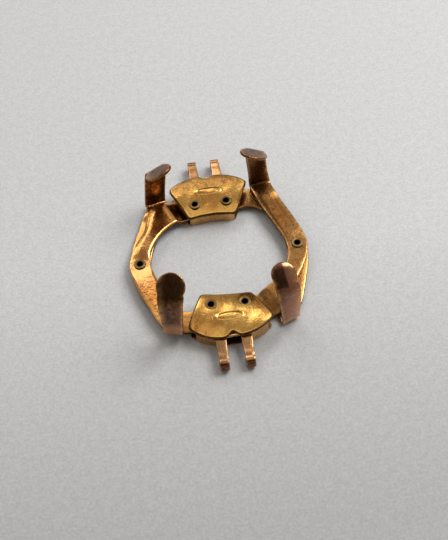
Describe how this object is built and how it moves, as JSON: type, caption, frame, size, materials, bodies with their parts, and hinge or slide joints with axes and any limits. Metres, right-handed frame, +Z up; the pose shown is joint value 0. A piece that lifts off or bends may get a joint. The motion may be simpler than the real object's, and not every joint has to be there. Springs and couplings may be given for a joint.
{
  "type": "expanding watch clamp",
  "caption": "Expanding clamp for a round watch: crossed spring-loaded levers with upright claws, pinned in two small boxes that carry bracelet hooks.",
  "frame": {"origin": "middle of the ring of levers, on the plane that the two boxes stand on", "axes": "+Z up, with the claws; +Y towards the rear box, +X towards the right pair of levers"},
  "size_m": [0.0286, 0.0406, 0.0129],
  "materials": {
    "gold": "worn gold-filled sheet",
    "rose_gold": "worn, redder gold-filled sheet",
    "tarnished_gold": "tarnished",
    "spring_steel": "satin"
  },
  "bodies": {
    "front_box": {"front_cover": "gold", "front_tray": "gold", "front_left_hook": "rose_gold", "front_left_eyelet": "tarnished_gold", "front_right_hook": "rose_gold", "front_right_eyelet": "tarnished_gold", "front_spring": "spring_steel"},
    "rear_box": {"rear_cover": "gold", "rear_tray": "gold", "rear_left_hook": "rose_gold", "rear_left_eyelet": "tarnished_gold", "rear_right_hook": "rose_gold", "rear_right_eyelet": "tarnished_gold", "rear_spring": "spring_steel"},
    "right_upper": {"right_upper_lever": "gold", "right_side_eyelet": "tarnished_gold"},
    "right_lower": {"right_lower_lever": "gold"},
    "left_upper": {"left_upper_lever": "gold", "left_side_eyelet": "tarnished_gold"},
    "left_lower": {"left_lower_lever": "gold"}
  },
  "joints": [
    {"name": "front_right_pivot", "type": "hinge", "parent": "front_box", "child": "right_upper", "pos_m": [0.0026, -0.00995, 0], "axis": [0, 0, -1], "range_deg": [0, 10], "stiffness_Nm_per_rad": 0.02, "deforming": ["front_spring"]},
    {"name": "front_left_pivot", "type": "hinge", "parent": "front_box", "child": "left_lower", "pos_m": [-0.0026, -0.00995, 0], "axis": [0, 0, 1], "range_deg": [0, 10]},
    {"name": "right_side_pivot", "type": "hinge", "parent": "right_upper", "child": "right_lower", "pos_m": [0.0126, 0, 0], "axis": [0, 0, 1], "range_deg": [0, 20]},
    {"name": "left_side_pivot", "type": "hinge", "parent": "left_lower", "child": "left_upper", "pos_m": [-0.0126, 0, 0], "axis": [0, 0, -1], "range_deg": [0, 20]},
    {"name": "rear_right_pivot", "type": "hinge", "parent": "right_lower", "child": "rear_box", "pos_m": [0.0026, 0.00995, 0], "axis": [0, 0, -1], "range_deg": [0, 10], "deforming": ["rear_spring"]}
  ],
  "couplings": [
    {"joint": "front_left_pivot", "follows": "front_right_pivot", "ratio": 1},
    {"joint": "right_side_pivot", "follows": "front_right_pivot", "ratio": 2},
    {"joint": "left_side_pivot", "follows": "front_right_pivot", "ratio": 2},
    {"joint": "rear_right_pivot", "follows": "front_right_pivot", "ratio": 1}
  ]
}
